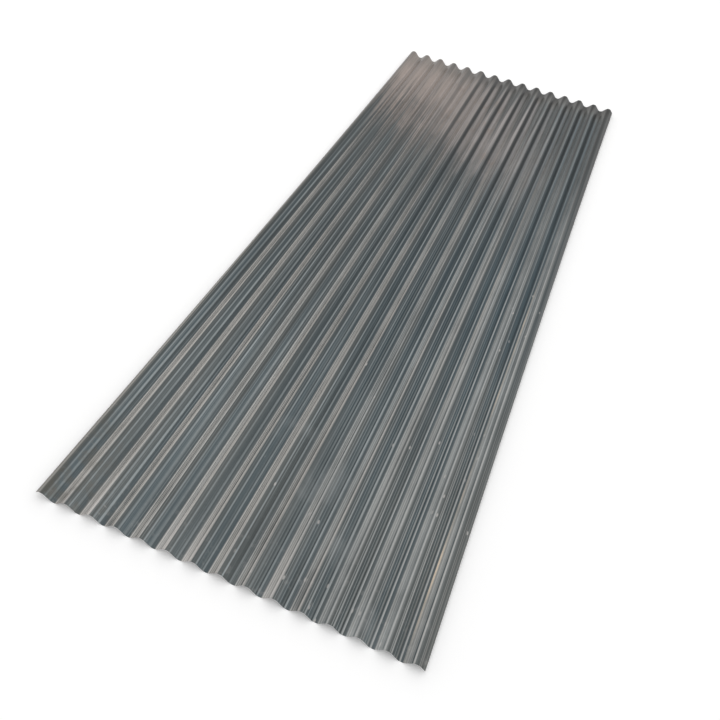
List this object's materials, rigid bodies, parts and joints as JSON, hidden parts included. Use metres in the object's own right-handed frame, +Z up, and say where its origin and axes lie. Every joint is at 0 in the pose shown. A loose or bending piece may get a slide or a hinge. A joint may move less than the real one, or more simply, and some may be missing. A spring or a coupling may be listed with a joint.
{
  "type": "corrugated metal sheet",
  "caption": "Long galvanised steel sheet, roll-formed into round corrugations along its length, that clads a roof or wall.",
  "frame": {"origin": "middle of the bounding box's underside, on the plane that the troughs rest on", "axes": "+X across the corrugations, +Y along them, +Z up towards the crests"},
  "size_m": [0.9824, 2.7432, 0.0227],
  "materials": {
    "galvanised_steel": "weathered bare galvanised steel, semi-gloss, with fine roller streaks along the sheet"
  },
  "bodies": {
    "root": {"corrugated_sheet": "galvanised_steel"}
  },
  "joints": []
}
